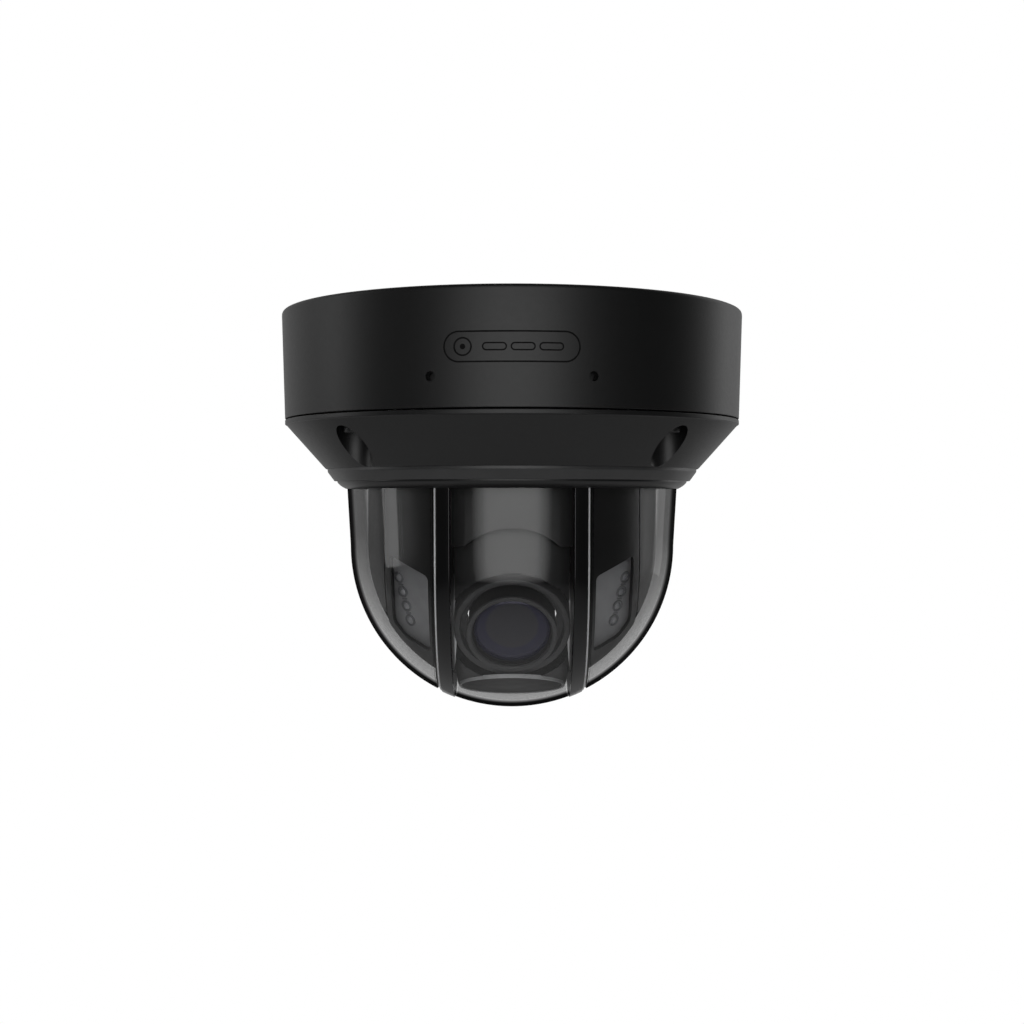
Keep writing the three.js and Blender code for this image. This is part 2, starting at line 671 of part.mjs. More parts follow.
function makeLensDrum() {
  const { radius, wall, halfWidth, cheek, from, to, tail } = DRUM;
  const sector = slab(sectorShape(radius + 5, from, to, tail), -halfWidth, halfWidth, 6);
  const whole = common(barrelBall(radius, halfWidth), acrossCamera(sector));
  const room = barrelBall(radius - wall, halfWidth - cheek);
  const recess = alongLens(disc(RECESS.radius, RECESS.floor, 60, 32));
  const recessSeat = common(alongLens(disc(RECESS.rim, RECESS.floor - wall, 60, 32)), whole);
  const bellyPad = alongLens(disc(BELLY.pad, BELLY.back - wall, 60, 32)).rotateX(radians(BELLY.below));
  const bellySeat = common(bellyPad, whole);
  const hoodHole = alongLens(disc(HOOD.outer + GAP, HOOD.back - GAP, 60, 32));
  const flat = block(-30, 30, -60, -BELLY.back + GAP, -40, 40).rotateX(radians(BELLY.below));
  const pins = alongX(disc(TRUNNION.radius, -TRUNNION.end + 4, TRUNNION.end, SMALL_ROUND));
  const hollow = cut(joined(whole, pins), room);
  return cut(joined(hollow, recessSeat, bellySeat), recess, hoodHole, flat);
}

function makeLensHood() {
  const { outer, inner, collar, back, front, chamfer } = HOOD;
  return alongLens(turned([
    [collar, back],
    [outer, back],
    [outer, front - chamfer],
    [outer - chamfer, front],
    [inner, front],
    [inner, back + 2],
    [collar, back + 2],
  ], 32));
}

function makeBarrel() {
  const { outer, inner, back, front, flange } = BARREL;
  const tube = alongLens(disc(outer, back, front, 32));
  const plate = block(-flange, flange, -back - 1.6, -back, -12, 12);
  return cut(joined(tube, plate), alongLens(disc(inner, back - 1, front + 1, 32)));
}

function makeBellyCover() {
  const plate = disc(BELLY.radius, BELLY.back, BELLY.front, 32);
  return alongLens(plate).rotateX(radians(BELLY.below));
}

function makeSensorBoard() {
  const board = block(-14, 14, -5, -3.4, -13, 13);
  return joined(board, block(-5, 5, -6.4, -4, -4, 4));
}

/** A lens in its carrier, between two distances along the lens axis. */
function lensGroup(radius, back, front, bulge) {
  return alongLens(turned([
    [0, back],
    [radius, back],
    [radius, front],
    [radius * 0.8, front],
    [radius * 0.45, front + bulge * 0.75],
    [0, front + bulge],
  ], SMALL_ROUND));
}

function makeFilter() {
  const plate = block(-5.5, 14, -8.8, -8, -5, 5);
  return cut(plate, block(5.5, 12.5, -10, -7, -3.5, 3.5));
}

add(lensUnit, "lens_drum", makeLensDrum(), MOULDED_BLACK);
add(lensUnit, "lens_hood", makeLensHood(), GLOSS_BLACK);
add(lensUnit, "lens_barrel", makeBarrel(), MOULDED_BLACK);
const rim = alongLens(ring(NOSE.inner, NOSE.outer, NOSE.back, NOSE.front, 32));
add(lensUnit, "lens_rim", rim, SATIN_GREY);
add(lensUnit, "front_lens", lensGroup(BARREL.inner - GAP, 37.5, 41.4, 1.6), LENS_GLASS);
add(lensUnit, "belly_cover", makeBellyCover(), GLOSS_BLACK);
const tiltGearTurn = Math.PI / 2;
add(lensUnit, "tilt_gear", tiltTrainGear(TILT_GEAR.teeth, TRUNNION.radius + GAP, tiltGearTurn), WHITE_ACETAL)
  .rotation.x = radians(-LENS_TILT);
add(lensUnit, "sensor_board", makeSensorBoard(), CIRCUIT_BOARD);
add(lensUnit, "zoom_group", lensGroup(11.4, 24, 28, 1.2), LENS_GLASS);
add(lensUnit, "focus_group", lensGroup(11.4, 14, 17, 1), LENS_GLASS);
add(lensUnit, "ir_cut_filter", makeFilter(), LENS_GLASS);

export default camera;
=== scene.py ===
"""A ceiling dome camera with a clear ribbed bubble that turns with its lens, in metres, Z up."""
import json
from math import atan2, cos, pi, radians, sin, sqrt

import bmesh
import bpy
from mathutils import Matrix, Vector


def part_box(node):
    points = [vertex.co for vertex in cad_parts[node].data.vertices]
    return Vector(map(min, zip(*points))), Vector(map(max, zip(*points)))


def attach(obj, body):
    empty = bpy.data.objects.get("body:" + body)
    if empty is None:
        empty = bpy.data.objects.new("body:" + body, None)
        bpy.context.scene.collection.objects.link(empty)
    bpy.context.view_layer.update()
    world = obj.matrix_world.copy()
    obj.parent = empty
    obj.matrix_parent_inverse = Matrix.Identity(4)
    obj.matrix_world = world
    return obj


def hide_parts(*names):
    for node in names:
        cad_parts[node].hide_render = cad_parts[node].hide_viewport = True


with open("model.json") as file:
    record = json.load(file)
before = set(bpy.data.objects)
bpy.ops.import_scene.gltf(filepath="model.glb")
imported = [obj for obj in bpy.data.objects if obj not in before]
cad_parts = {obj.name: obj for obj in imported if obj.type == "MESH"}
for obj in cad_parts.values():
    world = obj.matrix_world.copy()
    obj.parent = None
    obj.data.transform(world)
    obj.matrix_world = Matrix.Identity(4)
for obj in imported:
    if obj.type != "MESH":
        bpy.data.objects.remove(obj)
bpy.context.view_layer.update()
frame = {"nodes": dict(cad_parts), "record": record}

# ------------------------------------------------------------------ sizes, from the frame
MM = 0.001
JOINTS = {joint["name"]: joint for joint in frame["record"]["behaviour"]["joints"]}
SLOT_OF = {row["node"]: row["material_slot"] for row in frame["record"]["subparts"]}


def low(node, axis):
    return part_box(node)[0]["xyz".index(axis)] / MM


def high(node, axis):
    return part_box(node)[1]["xyz".index(axis)] / MM


# sizes below are in millimetres and angles in degrees, but for LENS_TILT, which is in radians
HOUSING_R = high("housing_shell", "x")
HOUSING_FOOT = low("housing_shell", "z")
HOUSING_BORE_R = 72.2
DECK_TOP = -3.2  # the deck closes the housing under its mount plate
DECK_FOOT = -6.2
EMBLEM_Z = -17.8
EMBLEM_HALF = 20
COVER_TOP = high("cover_ring", "z")
COVER_FOOT = low("cover_ring", "z")
TRIM_R = high("trim_ring", "x")
TRIM_FOOT = low("trim_ring", "z")
CLAMP_R = high("clamp_ring", "x")
CLAMP_FOOT = low("clamp_ring", "z")
PLATE_R = high("mount_plate", "x")
PLATE_BACK = low("mount_plate", "z")
HANG = high("dome_window_center", "z")  # top of everything under the turret disc
DOME_R = 53.65
DOME_C = low("dome_window_center", "z") + DOME_R
DOME_WALL = 2.2
NECK_Z = -58.1  # where the bubble leaves its clamp ring
NECK_FLARE = 1.05  # how much wider the neck is than the ball
WINDOW_HALF = high("dome_window_center", "x")
RIB_IN = low("dome_rib_right", "x")
RIB_OUT = high("dome_rib_right", "x")
PIVOT = JOINTS["tilt"]["pos_m"][2] / MM
LOOK = JOINTS["zoom_travel"]["axis"]
LENS_TILT = atan2(-LOOK[2], -LOOK[1])
SCREW_RING = (high("cover_screw_1", "x") + low("cover_screw_1", "x")) / 2 / sin(radians(45))
DIAGONALS = (45, 135, 225, 315)
POCKET_R = 5.5
SCREW_HOLE_R = 2.4
SCREW_HEAD_R = 3.2
SCREW_SHANK_R = 2
SCREW_SOCKET_R = 1.5
MIC_AZIMUTH = 18.1
MIC_Z = -26.0
MIC_HOLE_R = 1.45
CABLE_Y = 30.0
CABLE_HOLE = 11.0  # the radius of the cable's way through the back
MOUNT_HOLE_R = 2.4
MOUNT_HOLE_REACH = 56
SHROUD_R = 48.3
SHROUD_IN = low("ir_shroud_right", "x")
SHROUD_OUT = high("ir_shroud_right", "x")
CAP_R = 47.9
CAP_IN = low("side_cap_right", "x")
FRONT_R = 48.6
FRONT_HALF = high("front_plate", "x")
FRONT_FOOT = low("front_plate", "z")
ARCH_TOP = -70.0
ARCH_R = 21.7
PLATE_STRIPS = 18
REAR_R = 50.2
REAR_HALF = high("rear_shroud", "x")
REAR_FOOT = low("rear_shroud", "z")
LAMP_AZIMUTH = 42.0
LAMP_TILT = 20.0
LAMP_TRAY = 34.0
LAMP_PANE = 39.0
LED_COLUMN = 13.4  # the middle of the four lamps, in the lamp's own plane
LED_HEIGHT = -3.2
LAMP_R = 1.3
BEZEL_HOLE_R = 1.35
BEZEL_R = 2.05
POCKET = ((25.9, -109.9), (34.3, -105.7), (38.3, -100.7), (38.3, -78.8), (25.9, -85.0))
DRUM_R = 46.0
DRUM_HALF = 17.6
BELLY_BELOW = 43.0  # degrees below the lens axis
DRUM_FROM = -75.5  # the drum's reach below and above the lens axis, in degrees
DRUM_TO = 50.5
DRUM_STEPS = 21
DRUM_WALL = 2.6
DRUM_CHEEK = 2.5
BELLY_R = 17.2
BELLY_FACE = 43.6
# from here down, distances out along the lens axis are from the tilt axis
RECESS_R = 20.6
RECESS_FLOOR = 36
RECESS_MOUTH = 43  # beyond the recess's outermost edge
HOOD_BORE_R = 18.5
HOOD_R = 18.2
HOOD_MOUTH_R = 16.2
HOOD_COLLAR_R = 14.2
HOOD_BACK = 30
HOOD_STEP = 37.5
HOOD_FRONT = 40.8
BARREL_R = 13.6
BARREL_BORE_R = 12.3
BARREL_BACK = 10.5
BARREL_FRONT = 43.2
FLANGE_HALF = 14.8
NOSE_R = 14.1
NOSE_BORE_R = 12.4
NOSE_BACK = 43.5
NOSE_FRONT = 44.4
GLASS_R = 12
GLASS_BACK = 38
GLASS_RIM = 41.6
GLASS_RISE = 2.2


# ------------------------------------------------------------------ forms, made in millimetres
def rounded(outline, steps=4):
    """An outline whose corners (a, b, fillet) are rounded over that distance."""
    points = []
    count = len(outline)
    for i, corner in enumerate(outline):
        here = Vector(corner[:2])
        if len(corner) < 3:
            points.append(tuple(here))
            continue
        before = Vector(outline[i - 1][:2]) - here
        after = Vector(outline[(i + 1) % count][:2]) - here
        start = here + before.normalized() * min(corner[2], before.length * 0.5)
        end = here + after.normalized() * min(corner[2], after.length * 0.5)
        for k in range(steps + 1):
            t = k / steps
            points.append(tuple(start * (1 - t) ** 2 + here * (2 * t * (1 - t)) + end * t * t))
    return points


def arc(radius, centre, start, end, steps):
    """Points (radius, height) on a circle about the axis, from one elevation to another."""
    turns = [radians(start + (end - start) * i / steps) for i in range(steps + 1)]
    return [(radius * cos(a), centre + radius * sin(a)) for a in turns]


def spun(outline, steps=180):
    """A closed outline of (radius, height) turned once round Z."""
    form = bmesh.new()
    corners = [form.verts.new((r, 0, z)) for r, z in outline]
    sides = []
    for a, b in zip(corners, corners[1:] + corners[:1]):
        if a.co.x > 1e-6 or b.co.x > 1e-6:
            sides.append(form.edges.new((a, b)))
    bmesh.ops.spin(form, geom=corners + sides, axis=(0, 0, 1), cent=(0, 0, 0),
                   angle=2 * pi, steps=steps, use_merge=True)
    return closed(form)


def closed(form):
    bmesh.ops.remove_doubles(form, verts=form.verts, dist=1e-4)
    bmesh.ops.recalc_face_normals(form, faces=form.faces)
    return form


def placed(form, matrix):
    bmesh.ops.transform(form, matrix=matrix, verts=form.verts)
    return form


def moved(form, x=0.0, y=0.0, z=0.0):
    return placed(form, Matrix.Translation((x, y, z)))


def rod(radius, start, end, steps=48):
    """A round bar about Z."""
    return spun([(0, start), (radius, start), (radius, end), (0, end)], steps)


def block(x0, x1, y0, y1, z0, z1):
    form = bmesh.new()
    bmesh.ops.create_cube(form, size=1)
    bmesh.ops.scale(form, vec=(x1 - x0, y1 - y0, z1 - z0), verts=form.verts)
    return moved(form, (x0 + x1) / 2, (y0 + y1) / 2, (z0 + z1) / 2)


def slab(outline, near, far):
    """An outline in X and Z made thick along Y."""
    form = bmesh.new()
    face = form.faces.new([form.verts.new((x, near, z)) for x, z in outline])
    grown = bmesh.ops.extrude_face_region(form, geom=[face])
    tops = [v for v in grown["geom"] if isinstance(v, bmesh.types.BMVert)]
    bmesh.ops.translate(form, verts=tops, vec=(0, far - near, 0))
    return closed(form)


def as_object(form):
    mesh = bpy.data.meshes.new("blank")
    form.to_mesh(mesh)
    form.free()
    blank = bpy.data.objects.new("blank", mesh)
    bpy.context.scene.collection.objects.link(blank)
    return blank


def worked(form, operation, *tools):
    """A form cut by, joined to or kept inside each tool in turn."""
    for tool in tools:
        base, other = as_object(form), as_object(tool)
        change = base.modifiers.new("work", "BOOLEAN")
        change.operation = operation
        change.object = other
        change.solver = "EXACT"
        form = bmesh.new()
        form.from_object(base, bpy.context.evaluated_depsgraph_get())
        for blank in (base, other):
            mesh = blank.data
            bpy.data.objects.remove(blank)
            bpy.data.meshes.remove(mesh)
    return form


def cut(form, *tools):
    return worked(form, "DIFFERENCE", *tools)


def kept_in(form, *tools):
    return worked(form, "INTERSECT", *tools)


def joined(form, *tools):
    return worked(form, "UNION", *tools)


def trimmed(form, point, normal):
    """A closed form cut off on the side that the normal points to, its cut closed again."""
    everything = form.verts[:] + form.edges[:] + form.faces[:]
    sliced = bmesh.ops.bisect_plane(form, geom=everything, dist=1e-5, plane_co=point,
                                    plane_no=normal, clear_outer=True)
    rim = [e for e in sliced["geom_cut"] if isinstance(e, bmesh.types.BMEdge)]
    bmesh.ops.triangle_fill(form, use_beauty=True, use_dissolve=False, edges=rim)
    return closed(form)


def eased(form, width, angle=40):
    """The sharp edges of a form broken by a small chamfer of two faces."""
    sharp = [e for e in form.edges if e.is_manifold and e.calc_face_angle(0) > radians(angle)]
    bmesh.ops.bevel(form, geom=sharp, offset=width, offset_type="OFFSET", segments=2,
                    profile=0.5, affect="EDGES", clamp_overlap=True, material=-1)
    return form


def mirrored(form):
    """The mirror image in the plane X = 0."""
    image = form.copy()
    bmesh.ops.scale(image, vec=(-1, 1, 1), verts=image.verts)
    bmesh.ops.reverse_faces(image, faces=image.faces)
    return image


def striped(form, half):
    """A form cut into strips a millimetre wide along X, so that it can be bent."""
    for i in range(-half, half + 1):
        everything = form.verts[:] + form.edges[:] + form.faces[:]
        bmesh.ops.bisect_plane(form, geom=everything, dist=1e-5, plane_co=(i + 0.01, 0, 0),
                               plane_no=(1, 0, 0))
    return form


def about_lens(form, below=0.0):
    """A form made about Z put on the lens axis, or on an axis so many degrees below it."""
    turn = Matrix.Rotation(LENS_TILT + radians(below) + pi / 2, 4, "X")
    return placed(form, Matrix.Translation((0, 0, PIVOT)) @ turn)


def in_lens(form):
    """A form made with the lens looking along -Y put at its rest tilt."""
    return placed(form, Matrix.Translation((0, 0, PIVOT)) @ Matrix.Rotation(LENS_TILT, 4, "X"))


def on_azimuth(form, azimuth):
    """A form made on -Y turned round the camera towards +X."""
    return placed(form, Matrix.Rotation(radians(azimuth), 4, "Z"))


def finish(form, name, body, look, replaces=(), sharp=32):
    """Size a form in metres, give it its finish and hang it on its body."""
    bmesh.ops.remove_doubles(form, verts=form.verts, dist=1e-4)
    bmesh.ops.scale(form, vec=(MM, MM, MM), verts=form.verts)
    mesh = bpy.data.meshes.new(name)
    form.to_mesh(mesh)
    form.free()
    mesh.shade_smooth()
    mesh.set_sharp_from_angle(angle=radians(sharp))
    mesh.materials.append(look)
    piece = bpy.data.objects.new(name, mesh)
    bpy.context.scene.collection.objects.link(piece)
    if replaces:
        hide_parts(*replaces)
    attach(piece, body)
    return piece


def finish_pair(form, name, body, look, node=None, sharp=32):
    """A piece on the right and its mirror image on the left."""
    left = mirrored(form)
    pieces = []
    for side, half in (("right", form), ("left", left)):
        nodes = (node + "_" + side,) if node else ()
        pieces.append(finish(half, name + "_" + side, body, look, nodes, sharp))
    return pieces


# ------------------------------------------------------------------ finishes
def add_node(tree, kind, **values):
    node = tree.nodes.new(kind)
    for key, value in values.items():
        node.inputs[key].default_value = value
    return node


def noise(tree, scale, stretch=(1, 1, 1), detail=4.0):
    """A noise in the piece's own space; its scale counts cells in a metre."""
    place = tree.nodes.new("ShaderNodeTexCoord")
    mapping = add_node(tree, "ShaderNodeMapping", Scale=stretch)
    tree.links.new(place.outputs["Object"], mapping.inputs["Vector"])
    cloud = add_node(tree, "ShaderNodeTexNoise", Scale=scale, Detail=detail)
    tree.links.new(mapping.outputs["Vector"], cloud.inputs["Vector"])
    return cloud.outputs[0]


def between(tree, source, lowest, highest, start=0.35, end=0.65):
    spread = tree.nodes.new("ShaderNodeMapRange")
    spread.inputs["From Min"].default_value = start
    spread.inputs["From Max"].default_value = end
    spread.inputs["To Min"].default_value = lowest
    spread.inputs["To Max"].default_value = highest
    tree.links.new(source, spread.inputs["Value"])
    return spread.outputs["Result"]


def two_tone(tree, source, first, second):
    mix = tree.nodes.new("ShaderNodeMix")
    mix.data_type = "RGBA"
    mix.inputs[6].default_value = (*first, 1)
    mix.inputs[7].default_value = (*second, 1)
    tree.links.new(source, mix.inputs[0])
    return mix.outputs[2]


def bumped(tree, shader, height, depth):
    relief = tree.nodes.new("ShaderNodeBump")
    relief.inputs["Strength"].default_value = 1.0
    relief.inputs["Distance"].default_value = depth * MM
    tree.links.new(height, relief.inputs["Height"])
    tree.links.new(relief.outputs["Normal"], shader.inputs["Normal"])


def shaded(colour, factor):
    return tuple(min(1.0, channel * factor) for channel in colour)


def new_look(name, metal=0.0):
    look = bpy.data.materials.new(name)
    look.use_nodes = True
    shader = look.node_tree.nodes["Principled BSDF"]
    shader.inputs["Metallic"].default_value = metal
    return look, look.node_tree, shader


def grained(name, colour, rough, *, metal=0.0, tone=0.15, spread=0.06, grain=900, depth=0.01,
            stretch=(1, 1, 1), cloud=45, specular=0.5):
    """A finish with a fine grain, a little uneven in colour and in gloss."""
    look, tree, shader = new_look(name, metal)
    patches = between(tree, noise(tree, cloud), 0, 1)
    tree.links.new(two_tone(tree, patches, shaded(colour, 1 - tone), shaded(colour, 1 + tone)),
                   shader.inputs["Base Color"])
    gloss = between(tree, noise(tree, cloud * 5, stretch), rough - spread, rough + spread)
    tree.links.new(gloss, shader.inputs["Roughness"])
    shader.inputs["Specular IOR Level"].default_value = specular
    bumped(tree, shader, noise(tree, grain, stretch, 6.0), depth)
    return look


def circuit_look():
    """Green solder mask over tracks, with pale pads."""
    look, tree, shader = new_look("solder_mask")
    place = tree.nodes.new("ShaderNodeTexCoord")
    tracks = tree.nodes.new("ShaderNodeTexBrick")
    tracks.inputs["Scale"].default_value = 220
    tracks.inputs["Mortar Size"].default_value = 0.03
    tracks.inputs["Color1"].default_value = (0.012, 0.09, 0.045, 1)
    tracks.inputs["Color2"].default_value = (0.016, 0.12, 0.06, 1)
    tracks.inputs["Mortar"].default_value = (0.03, 0.2, 0.1, 1)
    tree.links.new(place.outputs["Object"], tracks.inputs["Vector"])
    tree.links.new(tracks.outputs["Color"], shader.inputs["Base Color"])
    gloss = between(tree, noise(tree, 300), 0.35, 0.5)
    tree.links.new(gloss, shader.inputs["Roughness"])
    bumped(tree, shader, tracks.outputs["Fac"], 0.03)
    return look


def by_angle(tree, stops):
    """A value that goes with how squarely the surface is seen, from square on to edge on."""
    facing = add_node(tree, "ShaderNodeLayerWeight", Blend=0.5)
    ramp = tree.nodes.new("ShaderNodeValToRGB")
    marks = ramp.color_ramp.elements
    while len(marks) < len(stops):
        marks.new(0.5)
    for mark, (place, value) in zip(marks, stops):
        mark.position = place
        mark.color = (value, value, value, 1)
    tree.links.new(facing.outputs["Facing"], ramp.inputs[0])
    return ramp.outputs["Color"]


def clear_look(name, seen, seen_low, gloss):
    """A clear skin: what shows through it above and at its foot, with painted shade by angle, and
    what it mirrors, by angle.
    """
    look = bpy.data.materials.new(name)
    look.use_nodes = True
    tree = look.node_tree
    tree.nodes.clear()
    through = tree.nodes.new("ShaderNodeBsdfTransparent")
    place = tree.nodes.new("ShaderNodeTexCoord")
    height = tree.nodes.new("ShaderNodeSeparateXYZ")
    tree.links.new(place.outputs["Object"], height.inputs[0])
    # the bubble's foot takes the second ramp, with less painted shade
    lower = between(tree, height.outputs["Z"], 0, 1, (DOME_C + 4) * MM, (DOME_C - 30) * MM)
    mix = tree.nodes.new("ShaderNodeMix")
    mix.data_type = "RGBA"
    tree.links.new(lower, mix.inputs[0])
    tree.links.new(by_angle(tree, seen), mix.inputs[6])
    tree.links.new(by_angle(tree, seen_low), mix.inputs[7])
    tree.links.new(mix.outputs[2], through.inputs["Color"])
    mirror = add_node(tree, "ShaderNodeBsdfGlossy", Roughness=0.05, Color=(1, 1, 1, 1))
    blend = tree.nodes.new("ShaderNodeMixShader")
    out = tree.nodes.new("ShaderNodeOutputMaterial")
    waves = noise(tree, 40, detail=2.0)
    bumped(tree, mirror, waves, 0.002)
    tree.links.new(by_angle(tree, gloss), blend.inputs[0])
    tree.links.new(through.outputs[0], blend.inputs[1])
    tree.links.new(mirror.outputs[0], blend.inputs[2])
    tree.links.new(blend.outputs[0], out.inputs["Surface"])
    return look


def bubble_look():
    """The outside of the clear bubble, with painted shade where it is seen edge on and less painted
    shade at its foot.
    """
    # see-through colour by angle: painted shade, darkest edge on
    above = [(0.0, 0.93), (0.44, 0.88), (0.56, 0.26), (0.72, 0.3), (0.8, 0.03), (1.0, 0.0)]
    below = [(0.0, 0.93), (0.44, 0.9), (0.56, 0.5), (0.72, 0.62), (0.8, 0.04), (1.0, 0.0)]
    return clear_look("clear_bubble", above, below,
                      [(0.0, 0.042), (0.5, 0.05), (0.72, 0.06), (0.8, 0.015), (1.0, 0.0)])


def bubble_inside_look():
    clear = [(0.0, 0.98), (0.8, 0.96), (1.0, 0.9)]
    return clear_look("clear_bubble_inside", clear, clear, [(0.0, 0.004), (0.6, 0.01), (1.0, 0.02)])


def lens_look():
    """Dark coated glass: neutral towards its upper part, with a painted violet reflection as a
    crescent below.
    """
    look, tree, shader = new_look("coated_lens")
    gloss = between(tree, noise(tree, 120), 0.14, 0.18)
    tree.links.new(gloss, shader.inputs["Roughness"])
    shader.inputs["IOR"].default_value = 1.5
    shader.inputs["Specular Tint"].default_value = (0.8, 0.78, 1.0, 1)
    place = tree.nodes.new("ShaderNodeTexCoord")
    axis = Vector(LOOK)
    up = Vector((1, 0, 0)).cross(axis) * -1
    centre = (Vector((0, 0, PIVOT)) + axis * 43.5 + up * 2.8) * MM
    reach = tree.nodes.new("ShaderNodeVectorMath")
    reach.operation = "DISTANCE"
    reach.inputs[1].default_value = centre
    tree.links.new(place.outputs["Object"], reach.inputs[0])
    # painted violet reflection on the lower part of the glass, by distance from a point above its
    # centre
    violet_reflection_mask = between(tree, reach.outputs["Value"], 0, 1, 7.6 * MM, 8.6 * MM)
    colour = two_tone(tree, violet_reflection_mask, (0.024, 0.024, 0.025), (0.010, 0.009, 0.032))
    tree.links.new(colour, shader.inputs["Base Color"])
    return look


LOOKS = {
    "painted_black": grained("powder_coat", (0.0045, 0.0046, 0.0048), 0.43, tone=0.08, spread=0.012,
                             grain=1300, depth=0.012, cloud=160),
    "moulded_black": grained("spark_textured_moulding", (0.007, 0.007, 0.0074), 0.36, tone=0.08,
                             spread=0.015, grain=900, depth=0.0012, cloud=160),
    "gloss_black": grained("smooth_black_moulding", (0.003, 0.003, 0.0033), 0.2, tone=0.08,
                           spread=0.015, grain=500, depth=0.001, cloud=160),
    "satin_grey": grained("satin_grey_plastic", (0.36, 0.363, 0.375), 0.42, tone=0.08, spread=0.02,
                          grain=1400, depth=0.004, cloud=160),
    "clear_dome": bubble_look(),
    "lens_glass": lens_look(),
    "steel": grained("zinc_plate", (0.42, 0.43, 0.44), 0.36, metal=1, stretch=(1, 8, 1), grain=700,
                     depth=0.006),
    "aluminium": grained("cast_aluminium", (0.52, 0.53, 0.54), 0.45, metal=1, grain=500, depth=0.02),
    "brass": grained("turned_brass", (0.62, 0.46, 0.2), 0.33, metal=1, stretch=(12, 1, 1), grain=500,
                     depth=0.006),
    "rubber": grained("moulded_rubber", (0.018, 0.018, 0.018), 0.8, grain=1200, depth=0.02),
    "white_acetal": grained("acetal", (0.72, 0.71, 0.66), 0.42, tone=0.05, grain=900, depth=0.004),
    "circuit_board": circuit_look(),
}
BUBBLE_INSIDE = bubble_inside_look()
# a light grey that stands in for the highlight on lit edges: a painted highlight
PAINTED_HIGHLIGHT_EDGE = grained("painted_highlight_edge", (0.62, 0.625, 0.635), 0.3, tone=0.1, spread=0.03, grain=900,
                    depth=0.002, cloud=160)
# near black: a blackened finish, made darker still as painted shade for the screws' deep pockets
BLACKENED_AND_PAINTED_SHADE = grained("blackened_screw_and_painted_shade", (0.008, 0.008, 0.0085), 0.45, grain=900, depth=0.006)
BELLY_BLACK = grained("window_black", (0.004, 0.004, 0.0043), 0.3, tone=0.1, spread=0.02,
                      grain=1200, depth=0.002, specular=0.15)
# the trim ring's black is painted lighter than the powder coat: a painted highlight for the light the
# ring catches
RING_PAINTED_LIGHTER = grained("ring_black_painted_lighter", (0.035, 0.0353, 0.036), 0.4, tone=0.08, spread=0.012, grain=1300,
                     depth=0.008, cloud=160)
# near-black ink for the emblem's lines, also laid on the sunk face round the hood as painted shade
INK_AND_RECESS_SHADE = grained("ink_and_recess_shade", (0.0012, 0.0012, 0.0013), 0.7, tone=0.1, spread=0.04, grain=1500,
                     depth=0.004, cloud=160, specular=0.15)
HOOD_GREY = grained("satin_hood", (0.05, 0.05, 0.052), 0.45, tone=0.08, spread=0.02, grain=1200,
                    depth=0.002, cloud=160)
LAMP_RING = grained("lamp_ring", (0.2, 0.202, 0.21), 0.4, tone=0.1, spread=0.03, grain=900,
                    depth=0.003, cloud=160)
LED_EPOXY = grained("lamp_epoxy", (0.34, 0.345, 0.36), 0.25, tone=0.15, grain=400, depth=0.002)


# ------------------------------------------------------------------ housing and cover
def wall_radius(z):
    """The housing's outer radius, which narrows by a millimetre to its foot."""
    return HOUSING_R + z / -HOUSING_FOOT


def wrapped(form):
    """A flat form in X (round the wall), Y (proud) and Z bent round the housing's front."""
    for vert in form.verts:
        s, proud, z = vert.co
        radius = wall_radius(z) + proud
        vert.co = (radius * sin(s / HOUSING_R), -radius * cos(s / HOUSING_R), z)
    return closed(form)


def stadium(x, z, half, radius, steps=14):
    """A flat-sided oval outline; with no straight half it is a circle."""
    ends = []
    for i in range(steps + 1):
        a = -pi / 2 + pi * i / steps
        ends.append((x + half + radius * cos(a), z + radius * sin(a)))
    first = 0 if half else 1  # a circle's two halves share their ends
    for i in range(first, steps + 1 - first):
        a = pi / 2 + pi * i / steps
        ends.append((x - half + radius * cos(a), z + radius * sin(a)))
    return ends


def inlay(outline, width=None):
    """A thin dark line let into the wall along an outline, or a patch where no width is given."""
    form = bmesh.new()
    face = form.faces.new([form.verts.new((x, -0.3, z)) for x, z in outline])
    face.normal_update()
    if width:
        bmesh.ops.inset_individual(form, faces=[face], thickness=width, use_even_offset=True)
        bmesh.ops.delete(form, geom=[face], context="FACES_ONLY")
    grown = bmesh.ops.extrude_face_region(form, geom=form.faces[:])
    tops = [v for v in grown["geom"] if isinstance(v, bmesh.types.BMVert)]
    bmesh.ops.translate(form, verts=tops, vec=(0, 0.37, 0))
    return wrapped(striped(form, EMBLEM_HALF))


def make_emblem():
    """A plain pictogram on the front: a lens in an oval, with three short bars."""
    z = EMBLEM_Z
    lines = [inlay(stadium(0, z, 15.4, 4.5, 20), 0.45), inlay(stadium(-14.2, z, 0, 2.7, 20), 0.45),
             inlay(stadium(-14.2, z, 0, 0.8))]
    for x in (-5.0, 3.2, 11.4):
        lines.append(inlay(stadium(x, z, 2.4, 1.2, 8), 0.4))
    for i, line in enumerate(lines):
        finish(line, "emblem_line_%d" % (i + 1), "housing", INK_AND_RECESS_SHADE, sharp=30)


def make_housing():
    foot = HOUSING_FOOT
    outline = rounded([
        (0, DECK_TOP), (HOUSING_BORE_R, DECK_TOP), (HOUSING_BORE_R, 0), (HOUSING_R, 0, 1.4),
        (HOUSING_R - 1, foot, 0.3), (HOUSING_BORE_R, foot), (HOUSING_BORE_R, DECK_FOOT),
        (0, DECK_FOOT),
    ], 5)
    shell = spun(outline, 240)
    tools = [moved(rod(CABLE_HOLE, -10, 2), y=CABLE_Y)]
    for azimuth in (-MIC_AZIMUTH, MIC_AZIMUTH):
        hole = placed(rod(MIC_HOLE_R, 70, 80, 32), Matrix.Rotation(pi / 2, 4, "X"))
        tools.append(moved(on_azimuth(hole, azimuth), z=MIC_Z))
    shell = cut(shell, *tools)
    finish(shell, "housing", "housing", LOOKS["painted_black"],
           ["housing_shell"], 25)


